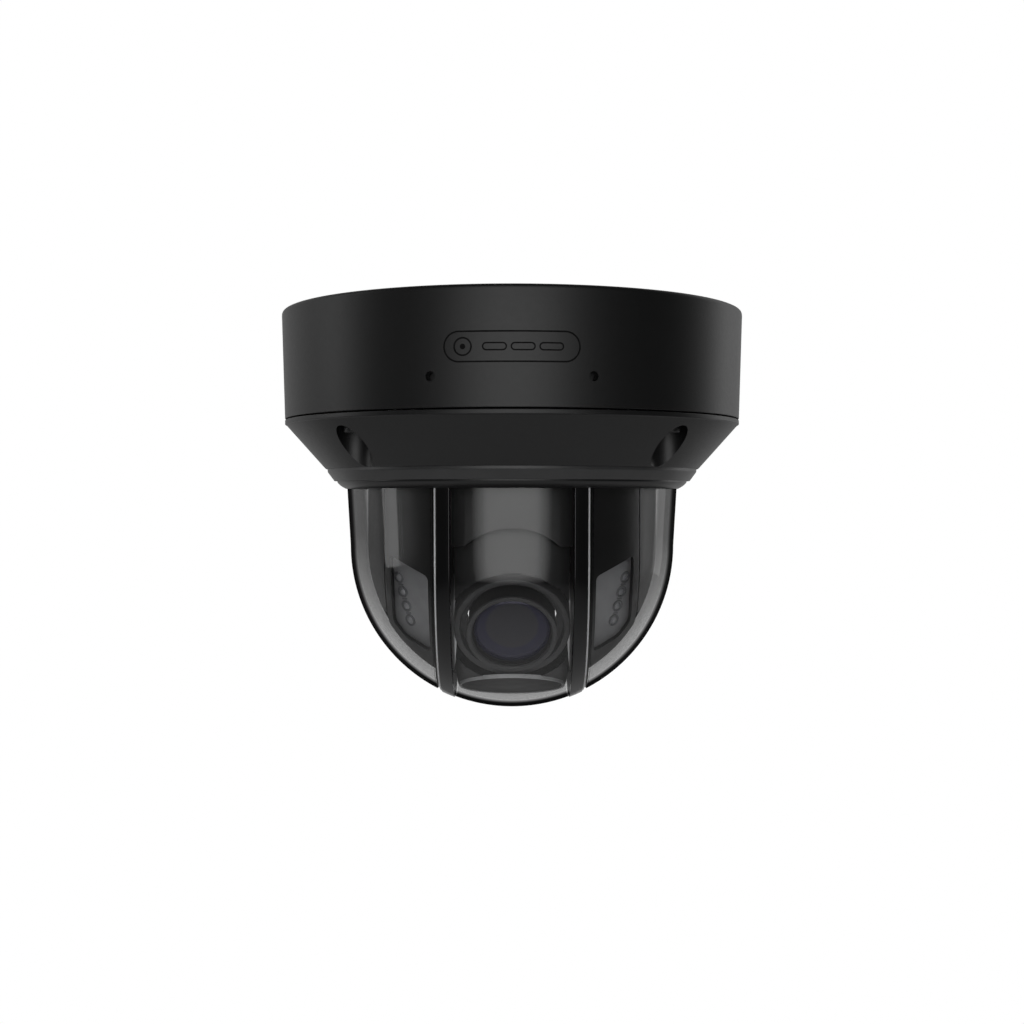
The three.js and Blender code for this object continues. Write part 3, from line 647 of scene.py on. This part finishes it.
def make_cover():
    """The screwed cone, with a round pocket for each screw."""
    outline = rounded([
        (72.4, COVER_TOP), (75, COVER_TOP, 0.25), (75, -36.8, 0.2), (74.5, -37.0),
        (61.8, COVER_FOOT + 0.15, 1.1), (61.5, COVER_FOOT + 0.15, 0.1), (61.5, -36.9),
        (72.4, -36.9),
    ])
    cone = spun(outline, 240)
    tools = []
    for azimuth in DIAGONALS:
        spot = Matrix.Rotation(radians(azimuth), 4, "Z") @ Matrix.Translation((0, -SCREW_RING, 0))
        tools.append(placed(rod(POCKET_R, -60, -38.3, 64), spot))
        tools.append(placed(rod(SCREW_HOLE_R, -60, -30, 32), spot))
    cone = cut(cone, *tools)
    finish(cone, "cover", "housing", LOOKS["painted_black"], ["cover_ring"], 25)


def make_cover_screws():
    for i, azimuth in enumerate(DIAGONALS):
        outline = rounded([
            (0, -41), (SCREW_HEAD_R, -41, 0.5), (SCREW_HEAD_R, -39.3, 0.2),
            (SCREW_SHANK_R, -39.3), (SCREW_SHANK_R, -28.2, 0.4), (0, -28.2),
        ])
        screw = spun(outline, 40)
        socket = rod(SCREW_SOCKET_R, -44, -40, 6)
        screw = eased(cut(screw, socket), 0.08, 50)
        spot = Matrix.Rotation(radians(azimuth), 4, "Z") @ Matrix.Translation((0, -SCREW_RING, 0))
        # the screws' near black is partly painted shade for their pockets
        finish(placed(screw, spot), "screw_%d" % (i + 1), "housing", BLACKENED_AND_PAINTED_SHADE,
               ["cover_screw_%d" % (i + 1)])


def make_rings():
    trim = spun(rounded([
        (58.7, -47), (58.7, TRIM_FOOT, 0.15), (59.0, TRIM_FOOT, 0.15), (TRIM_R, -52.2, 0.35),
        (TRIM_R, -47),
    ]), 240)
    # the trim's lighter black is a painted highlight
    finish(trim, "trim", "housing", RING_PAINTED_LIGHTER, ["trim_ring"], 25)
    foot = CLAMP_FOOT
    clamp = spun(rounded([
        (57.3, -52), (57.3, -55.5), (55.3, -55.5), (55.1, foot, 0.15), (56.4, foot + 0.7, 0.3),
        (57.2, foot + 1.3, 0.3), (CLAMP_R, foot + 2.1, 0.3), (CLAMP_R, -52),
    ]), 240)
    finish(clamp, "clamp", "turret", LOOKS["moulded_black"], ["clamp_ring"], 25)


def make_back():
    plate = spun(rounded([(0, 0), (PLATE_R, 0, 0.4), (PLATE_R, PLATE_BACK, 0.4), (0, PLATE_BACK)]),
                 180)
    tools = [moved(rod(CABLE_HOLE, -10, 2, 64), y=CABLE_Y)]
    for azimuth in (0, 90, 180, 270):
        hole = moved(rod(MOUNT_HOLE_R, -10, 2, 32), y=-MOUNT_HOLE_REACH)
        tools.append(on_azimuth(hole, azimuth))
    plate = eased(cut(plate, *tools), 0.15, 50)
    finish(plate, "back_plate", "housing", LOOKS["steel"], ["mount_plate"])
    gland = spun(rounded([
        (8, -8.2, 0.4), (13, -8.2, 0.6), (13, -6.5, 0.2), (10.7, -6.5), (10.7, -3.2, 0.3),
        (8, -3.2, 0.3),
    ]), 64)
    finish(moved(gland, y=CABLE_Y), "gland", "housing", LOOKS["rubber"],
           ["cable_gland"])


# ------------------------------------------------------------------ bubble and ribs
def flare(z):
    """How much wider the bubble is at a height than its ball."""
    return NECK_FLARE * max(0.0, z - DOME_C) / (NECK_Z - DOME_C)


def flared(form):
    """The neck of a form opened to the bubble's neck, with X kept as it is."""
    for vert in form.verts:
        x, y, z = vert.co
        reach = sqrt(x * x + y * y)
        if z > DOME_C and reach > 1e-6:
            wide = reach + flare(z)
            vert.co.y = (1 if y > 0 else -1) * sqrt(max(0.0, wide * wide - x * x))
    return form


def hoop(section, top, steps=120):
    """A section of (x, proud) points carried from the front neck under the ball to the back."""
    form = bmesh.new()
    corners = []
    for x, proud in section:
        reach = DOME_R + proud
        corners.append(form.verts.new((x, -sqrt(reach * reach - x * x), DOME_C)))
    sides = [form.edges.new((a, b)) for a, b in zip(corners, corners[1:] + corners[:1])]
    swept = bmesh.ops.spin(form, geom=corners + sides, axis=(1, 0, 0), cent=(0, 0, DOME_C),
                           angle=pi, steps=steps, use_merge=False)
    last = [e for e in swept["geom_last"] if isinstance(e, bmesh.types.BMEdge)]
    lifts = 10
    for rim in (sides, last):
        for _ in range(lifts):
            grown = bmesh.ops.extrude_edge_only(form, edges=rim)["geom"]
            lifted = [v for v in grown if isinstance(v, bmesh.types.BMVert)]
            bmesh.ops.translate(form, verts=lifted, vec=(0, 0, (top - DOME_C) / lifts))
            rim = [e for e in grown if isinstance(e, bmesh.types.BMEdge)
                   and all(v in lifted for v in e.verts)]
        bmesh.ops.triangle_fill(form, use_beauty=True, use_dissolve=False, edges=rim)
    return closed(flared(form))


def window_section(half, wall):
    """The section of the middle window: across its outer face and back along its inner one."""
    steps = 24
    outside = [(-half + 2 * half * i / steps, 0.0) for i in range(steps + 1)]
    inside = [(half - 2 * half * i / steps, -wall) for i in range(steps + 1)]
    return outside + inside


def clear_inside(piece):
    """Give the inner face of a bubble window its own plain clear finish."""
    piece.data.materials.append(BUBBLE_INSIDE)
    limit = (DOME_R - DOME_WALL / 2) * MM
    for face in piece.data.polygons:
        x, y, z = face.center
        reach = sqrt(x * x + y * y + min(0.0, z - DOME_C * MM) ** 2)
        if reach < limit + flare(z / MM) * MM:
            face.material_index = 1


def make_bubble():
    top = CLAMP_FOOT + 1.6
    middle = finish(hoop(window_section(WINDOW_HALF, DOME_WALL), top), "middle_window", "turret",
                    LOOKS["clear_dome"], ["dome_window_center"], 40)
    clear_inside(middle)
    outline = [(DOME_R - DOME_WALL, top), *arc(DOME_R - DOME_WALL, DOME_C, 0, -90, 48),
               *arc(DOME_R, DOME_C, -90, 0, 48), (DOME_R, top)]
    fine = []
    for a, b in zip(outline, outline[1:]):
        fine.append(a)
        if abs(a[0] - b[0]) < 1e-6 and abs(a[1] - b[1]) > 5:
            fine += [(a[0], a[1] + (b[1] - a[1]) * k / 8) for k in range(1, 8)]
    fine.append(outline[-1])
    opened = [(r + flare(z), z) for r, z in fine]
    side = trimmed(spun(opened, 240), (RIB_OUT + 0.3, 0, 0), (-1, 0, 0))
    for piece in finish_pair(side, "side_window", "turret", LOOKS["clear_dome"],
                             "dome_window", 40):
        clear_inside(piece)


def make_ribs():
    """A black band that stands proud, a light grey line along its outer side that is a painted
    highlight, and a sunk strip.
    """
    line_in, line_out = RIB_OUT - 1.25, RIB_OUT - 0.7
    section = rounded([
        (RIB_IN, -DOME_WALL), (RIB_IN, 0.35, 0.3), (RIB_IN + 2.2, 0.36), (line_in, 0.35, 0.3),
        (line_in, -0.5), (RIB_OUT, -0.5, 0.15), (RIB_OUT, -DOME_WALL),
    ])
    rib = hoop(section, CLAMP_FOOT + 1.6)
    finish_pair(rib, "rib", "turret", LOOKS["gloss_black"], "dome_rib", 40)
    # the light grey line along the rib's outer side is a painted highlight
    line = rounded([(line_in + 0.03, -0.45), (line_in + 0.03, 0.12, 0.2), (line_out, 0.02, 0.25),
                    (line_out, -0.45)])
    finish_pair(hoop(line, CLAMP_FOOT + 1.6), "rib_painted_highlight", "turret", PAINTED_HIGHLIGHT_EDGE)


# ------------------------------------------------------------------ covers behind the bubble
def inner_skin(radius, wall):
    """A shell that follows the bubble: straight above the ball's centre, round below it."""
    return spun([(radius - wall, HANG), *arc(radius - wall, DOME_C, 0, -90, 40),
                 *arc(radius, DOME_C, -90, 0, 40), (radius, HANG)], 200)


def make_front_plate():
    """The plate over the lens, bent round the turret, with an arch for the drum."""
    half, foot, top = FRONT_HALF, FRONT_FOOT, HANG
    chord = sqrt(ARCH_R ** 2 - (ARCH_R - (ARCH_TOP - foot)) ** 2)
    spread = atan2(chord, ARCH_R - (ARCH_TOP - foot))
    outline = [(-half, top), (-half, foot)]
    for i in range(25):
        a = -spread + 2 * spread * i / 24
        outline.append((ARCH_R * sin(a), ARCH_TOP - ARCH_R + ARCH_R * cos(a)))
    outline += [(half, foot), (half, top)]
    plate = slab(outline, 0.0, 1.2)
    front_rim = [e for e in plate.edges if all(abs(v.co.y) < 1e-6 for v in e.verts)]
    bmesh.ops.bevel(plate, geom=front_rim, offset=0.35, offset_type="OFFSET", segments=3,
                    profile=0.5, affect="EDGES", clamp_overlap=True, material=-1)
    striped(plate, PLATE_STRIPS)
    for vert in plate.verts:
        reach = FRONT_R - vert.co.y
        vert.co.y = -sqrt(reach * reach - vert.co.x ** 2)
    finish(closed(plate), "front_plate_skin", "turret", LOOKS["moulded_black"],
           ["front_plate"], 30)


def make_rear_shroud():
    skin = inner_skin(REAR_R, 1.2)
    for point, normal in (((REAR_HALF, 0, 0), (1, 0, 0)), ((-REAR_HALF, 0, 0), (-1, 0, 0)),
                          ((0, 10, 0), (0, -1, 0)), ((0, 0, REAR_FOOT), (0, 0, -1))):
        skin = trimmed(skin, point, normal)
    finish(skin, "rear_cover", "turret", LOOKS["moulded_black"],
           ["rear_shroud"], 30)


def grown_pocket(grow):
    centre = Vector((32.0, -94.0))
    points = []
    for x, z in POCKET:
        away = Vector((x, z)) - centre
        points.append(tuple(centre + away + away.normalized() * grow * 1.25))
    return points


def lamp_turn():
    """From a lamp that looks along -Y to where the right lamp looks."""
    return (Matrix.Translation((0, 0, DOME_C)) @ Matrix.Rotation(radians(LAMP_AZIMUTH), 4, "Z")
            @ Matrix.Rotation(radians(LAMP_TILT), 4, "X"))


def lamp_slab(near, far):
    return placed(block(-60, 60, -far, -near, -60, 60), lamp_turn())


def rounded_pocket(grow):
    corners = [(x, z, 1.6) for x, z in grown_pocket(grow)]
    return rounded(corners, 5)


def make_lamp_covers():
    """The curved covers beside the lens, each with a slanted pocket for its infra-red lamp."""
    skin = inner_skin(SHROUD_R, 1.6)
    skin = trimmed(skin, (SHROUD_OUT, 0, 0), (1, 0, 0))
    skin = trimmed(skin, (SHROUD_IN, 0, 0), (-1, 0, 0))
    filled = spun([*arc(SHROUD_R - 1, DOME_C, -90, 0, 40), (SHROUD_R - 1, HANG - 1), (0, HANG - 1)],
                  160)
    tray = kept_in(slab(rounded_pocket(1.3), -60, 0), lamp_slab(LAMP_TRAY, 60), filled)
    tray = trimmed(tray, (SHROUD_OUT, 0, 0), (1, 0, 0))
    cover = joined(skin, tray)
    cover = cut(cover, kept_in(slab(rounded_pocket(0), -60, 0), lamp_slab(LAMP_TRAY + 1.3, 70)))
    finish_pair(cover, "lamp_cover", "turret", LOOKS["moulded_black"],
                "ir_shroud", 30)


def make_lamp_panes():
    """Each lamp's grey panel, four lamps in a column with short bars between them."""
    pane = kept_in(slab(rounded_pocket(-0.35), -60, 0), lamp_slab(LAMP_PANE, LAMP_PANE + 1.2))
    finish_pair(eased(pane, 0.15, 50), "lamp_pane", "turret", LOOKS["satin_grey"],
                "ir_window")
    face = LAMP_PANE + 1.15
    for i in range(4):
        up = LED_HEIGHT + (i - 1.5) * 5
        spot = lamp_turn() @ Matrix.Translation((LED_COLUMN, 0, up)) @ Matrix.Rotation(pi / 2, 4, "X")
        bezel = spun(rounded([
            (BEZEL_HOLE_R, face), (BEZEL_R, face), (BEZEL_R, face + 0.5, 0.2),
            (BEZEL_HOLE_R, face + 0.5, 0.2),
        ]), 40)
        finish_pair(placed(bezel, spot), "lamp_bezel_%d" % (i + 1), "turret",
                    LAMP_RING)
        dome = spun([(0, face - 0.2), (LAMP_R, face - 0.2), (LAMP_R, face + 0.1),
                     *[(LAMP_R * cos(a), face + 0.1 + 0.75 * sin(a))
                       for a in (0.3, 0.6, 0.9, 1.2)], (0, face + 0.85)], 32)
        finish_pair(placed(dome, spot), "lamp_%d" % (i + 1), "turret", LED_EPOXY)
        if i < 3:
            bar = slab(rounded([(-1.1, -0.25, 0.2), (1.1, -0.25, 0.2), (1.1, 0.25, 0.2),
                                (-1.1, 0.25, 0.2)]), -face - 0.25, -face + 0.1)
            bar = placed(bar, lamp_turn() @ Matrix.Translation((LED_COLUMN, 0, up + 2.5)))
            finish_pair(bar, "lamp_bar_%d" % (i + 1), "turret", LAMP_RING)


def make_side_caps():
    cap = trimmed(inner_skin(CAP_R, 1.3), (CAP_IN, 0, 0), (-1, 0, 0))
    notch = block(CAP_IN - 1, CAP_IN + 1.6, -40, -10, -102, -98)
    cap = cut(cap, notch)
    finish_pair(cap, "cap", "turret", LOOKS["moulded_black"], "side_cap", 30)


# ------------------------------------------------------------------ lens unit
def ball(radius, half, steps=160):
    """A ball about the pivot, cut flat on both sides, its axis along X."""
    lean = atan2(half, sqrt(radius ** 2 - half ** 2))
    outline = [(0, -half)]
    for i in range(25):
        a = -lean + 2 * lean * i / 24
        outline.append((radius * cos(a), radius * sin(a)))
    outline.append((0, half))
    return placed(spun(outline, steps), Matrix.Rotation(pi / 2, 4, "Y"))


def paint_recess_shade(drum):
    """The sunk face round the hood is painted near black: painted shade for the recess."""
    drum.data.materials.append(INK_AND_RECESS_SHADE)
    axis = Vector(LOOK)
    for face in drum.data.polygons:
        arm = face.center / MM - Vector((0, 0, PIVOT))
        along = arm.dot(axis)
        reach = (arm - axis * along).length
        if RECESS_FLOOR - 1 < along < RECESS_MOUTH and reach < RECESS_R + 0.15:
            face.material_index = 1


def make_drum():
    """The drum that carries the lens, with a round recess about its hood and a flat below it."""
    sector = [(0, 0)]
    for i in range(DRUM_STEPS + 1):
        a = radians(DRUM_FROM + (DRUM_TO - DRUM_FROM) * i / DRUM_STEPS)
        sector.append((60 * cos(a), 60 * sin(a)))
    wedge = slab(sector, -DRUM_HALF - 5, DRUM_HALF + 5)
    wedge = placed(wedge, Matrix.Rotation(-pi / 2, 4, "Z"))
    whole = kept_in(ball(DRUM_R, DRUM_HALF), wedge)
    forward = Matrix.Rotation(pi / 2, 4, "X")
    downward = Matrix.Rotation(radians(BELLY_BELOW), 4, "X") @ forward
    seats = joined(placed(rod(24, 33.4, 70, 96), forward), placed(rod(19, 39.6, 70, 96), downward))
    seats = kept_in(seats, whole.copy())
    body = joined(cut(whole, ball(DRUM_R - DRUM_WALL, DRUM_HALF - DRUM_CHEEK, 96)), seats)
    recess = placed(rod(RECESS_R, RECESS_FLOOR, 70, 96), forward)
    bore = placed(rod(HOOD_BORE_R, 20, 70, 96), forward)
    flat = placed(block(-30, 30, -70, -(BELLY_FACE - 1.0), -40, 40),
                  Matrix.Rotation(radians(BELLY_BELOW), 4, "X"))
    body = eased(cut(body, recess, bore, flat), 0.35, 45)
    drum = finish(in_lens(body), "drum", "lens_unit", LOOKS["moulded_black"],
                  ["lens_drum"], 30)
    # the recess round the hood gets painted shade
    paint_recess_shade(drum)


def make_lens():
    hood = spun(rounded([
        (HOOD_COLLAR_R, HOOD_BACK), (HOOD_R, HOOD_BACK), (HOOD_R, HOOD_FRONT, 0.5),
        (HOOD_MOUTH_R, HOOD_FRONT, 0.35), (HOOD_MOUTH_R, HOOD_STEP, 0.3),
        (HOOD_COLLAR_R, HOOD_STEP),
    ], 5), 128)
    finish(about_lens(hood), "hood", "lens_unit", HOOD_GREY, ["lens_hood"])
    barrel = spun(rounded([
        (BARREL_BORE_R, BARREL_BACK), (BARREL_R, BARREL_BACK), (BARREL_R, BARREL_FRONT, 0.15),
        (BARREL_BORE_R, BARREL_FRONT, 0.15),
    ]), 128)
    flange = block(-FLANGE_HALF, FLANGE_HALF, -12.1, -BARREL_BACK, -12, 12)
    barrel = joined(about_lens(barrel), in_lens(flange))
    finish(barrel, "barrel", "lens_unit", LOOKS["moulded_black"],
           ["lens_barrel"])
    nose = spun(rounded([
        (NOSE_BORE_R, NOSE_BACK, 0.2), (NOSE_R, NOSE_BACK, 0.2), (NOSE_R, NOSE_FRONT, 0.35),
        (12.9, NOSE_FRONT, 0.3), (NOSE_BORE_R, 43.9, 0.2),
    ]), 128)
    finish(about_lens(nose), "nose_ring", "lens_unit", HOOD_GREY, ["lens_rim"])
    outline = [(0, GLASS_BACK), (GLASS_R, GLASS_BACK), (GLASS_R, GLASS_RIM)]
    for i in range(1, 13):
        a = radians(90 * i / 12)
        outline.append((GLASS_R * cos(a), GLASS_RIM + GLASS_RISE * sin(a)))
    finish(about_lens(spun(outline, 128)), "front_glass", "lens_unit",
           LOOKS["lens_glass"], ["front_lens"], 50)


def make_belly():
    """The round window below the lens, with a light grey rim that is a painted highlight."""
    plate = spun(rounded([
        (0, BELLY_FACE - 1.3), (BELLY_R - 0.9, BELLY_FACE - 1.3, 0.2),
        (BELLY_R - 0.9, BELLY_FACE - 0.3, 0.2), (0, BELLY_FACE - 0.3),
    ]), 128)
    finish(about_lens(plate, BELLY_BELOW), "belly_window", "lens_unit",
           BELLY_BLACK, ["belly_cover"])
    # the rim's light grey is a painted highlight
    rim = spun(rounded([
        (BELLY_R - 0.8, BELLY_FACE - 1.3), (BELLY_R, BELLY_FACE - 1.3, 0.2),
        (BELLY_R, BELLY_FACE, 0.3), (BELLY_R - 0.8, BELLY_FACE, 0.3),
    ]), 128)
    finish(about_lens(rim, BELLY_BELOW), "belly_rim", "lens_unit", PAINTED_HIGHLIGHT_EDGE)


# ------------------------------------------------------------------ the CAD nodes that stay
BLACKENED = dict.fromkeys(("mic_left", "mic_right", "tilt_bush_left", "tilt_bush_right"),
                          BLACKENED_AND_PAINTED_SHADE)


def dress_frame():
    for name, node in frame["nodes"].items():
        if node.hide_render:
            continue
        node.data.materials.clear()
        node.data.materials.append(BLACKENED.get(name) or LOOKS[SLOT_OF[name]])


# ------------------------------------------------------------------ studio, in metres
FLOOR_Z = -0.75
FLOOR_R = 1.5
AIM = Vector((0, 0, -0.07))
VIEW_SPOT = (0, -0.4883, -0.0606)
VIEW_DROP = 0.57  # how far the view points below level, in degrees
VIEW_LENS = 51.3
VIEW_SENSOR = 36


def white_floor():
    """A pale floor, plain white to look at, that throws back a softer light."""
    look = bpy.data.materials.new("studio_floor")
    look.use_nodes = True
    tree = look.node_tree
    tree.nodes.clear()
    out = tree.nodes.new("ShaderNodeOutputMaterial")
    seen = add_node(tree, "ShaderNodeEmission", Color=(1, 1, 1, 1), Strength=1.0)
    thrown = add_node(tree, "ShaderNodeEmission", Color=(1, 1, 1, 1))
    place = tree.nodes.new("ShaderNodeTexCoord")
    reach = tree.nodes.new("ShaderNodeVectorMath")
    reach.operation = "LENGTH"
    tree.links.new(place.outputs["Object"], reach.inputs[0])
    pool = between(tree, reach.outputs["Value"], 0.42, 0.12, 0.2, FLOOR_R)
    tree.links.new(pool, thrown.inputs["Strength"])
    rays = tree.nodes.new("ShaderNodeLightPath")
    blend = tree.nodes.new("ShaderNodeMixShader")
    tree.links.new(rays.outputs["Is Camera Ray"], blend.inputs[0])
    tree.links.new(thrown.outputs[0], blend.inputs[1])
    tree.links.new(seen.outputs[0], blend.inputs[2])
    tree.links.new(blend.outputs[0], out.inputs["Surface"])
    form = bmesh.new()
    bmesh.ops.create_circle(form, cap_ends=True, segments=64, radius=FLOOR_R)
    mesh = bpy.data.meshes.new("floor")
    form.to_mesh(mesh)
    form.free()
    mesh.materials.append(look)
    floor = bpy.data.objects.new("floor", mesh)
    floor.location.z = FLOOR_Z
    bpy.context.scene.collection.objects.link(floor)


def world_light():
    """Brighter behind the camera body than in front of it, and plain white to look at."""
    world = bpy.data.worlds.new("studio")
    bpy.context.scene.world = world
    world.use_nodes = True
    tree = world.node_tree
    background = tree.nodes["Background"]
    place = tree.nodes.new("ShaderNodeTexCoord")
    parts = tree.nodes.new("ShaderNodeSeparateXYZ")
    tree.links.new(place.outputs["Generated"], parts.inputs[0])
    behind = between(tree, parts.outputs["Y"], 0.05, 0.5, 0.22, 0.5)
    rays = tree.nodes.new("ShaderNodeLightPath")
    brighter = tree.nodes.new("ShaderNodeMath")
    brighter.operation = "MAXIMUM"
    tree.links.new(behind, brighter.inputs[0])
    tree.links.new(rays.outputs["Is Camera Ray"], brighter.inputs[1])
    background.inputs["Color"].default_value = (1, 1, 1, 1)
    tree.links.new(brighter.outputs[0], background.inputs["Strength"])


def panel_light(name, azimuth, elevation, reach, width, height, radiance):
    """A softbox that faces the camera body from so far away."""
    data = bpy.data.lights.new(name, "AREA")
    data.shape = "RECTANGLE"
    data.size = width
    data.size_y = height
    data.energy = radiance * width * height * pi
    lamp = bpy.data.objects.new(name, data)
    a, e = radians(azimuth), radians(elevation)
    lamp.location = AIM + reach * Vector((sin(a) * cos(e), -cos(a) * cos(e), sin(e)))
    lamp.rotation_euler = (AIM - lamp.location).to_track_quat("-Z", "Y").to_euler()
    lamp.visible_camera = False
    bpy.context.scene.collection.objects.link(lamp)


def make_studio():
    white_floor()
    world_light()
    for i in range(6):  # panels of growing width, so that the softbox has soft sides
        panel_light("front_softbox_%d" % i, 0, 3, 1.8 + 0.02 * i, 1.1 + 0.16 * i, 1.5 + 0.1 * i, 0.3)
    panel_light("left_strip", -91, 12, 1.3, 0.34, 1.1, 1.7)
    panel_light("right_strip", 123, 12, 1.3, 0.34, 1.1, 1.0)
    bpy.context.scene.view_settings.view_transform = "Standard"


def make_camera():
    data = bpy.data.cameras.new("view")
    data.lens = VIEW_LENS
    data.sensor_width = VIEW_SENSOR
    data.clip_start = 0.01
    camera = bpy.data.objects.new("view", data)
    camera.location = VIEW_SPOT
    camera.rotation_euler = (radians(90 - VIEW_DROP), 0, 0)
    bpy.context.scene.collection.objects.link(camera)
    bpy.context.scene.camera = camera


make_camera()
make_studio()
make_housing()
make_emblem()
make_cover()
make_cover_screws()
make_rings()
make_back()
make_bubble()
make_ribs()
make_front_plate()
make_rear_shroud()
make_lamp_covers()
make_lamp_panes()
make_side_caps()
make_drum()
make_lens()
make_belly()
dress_frame()
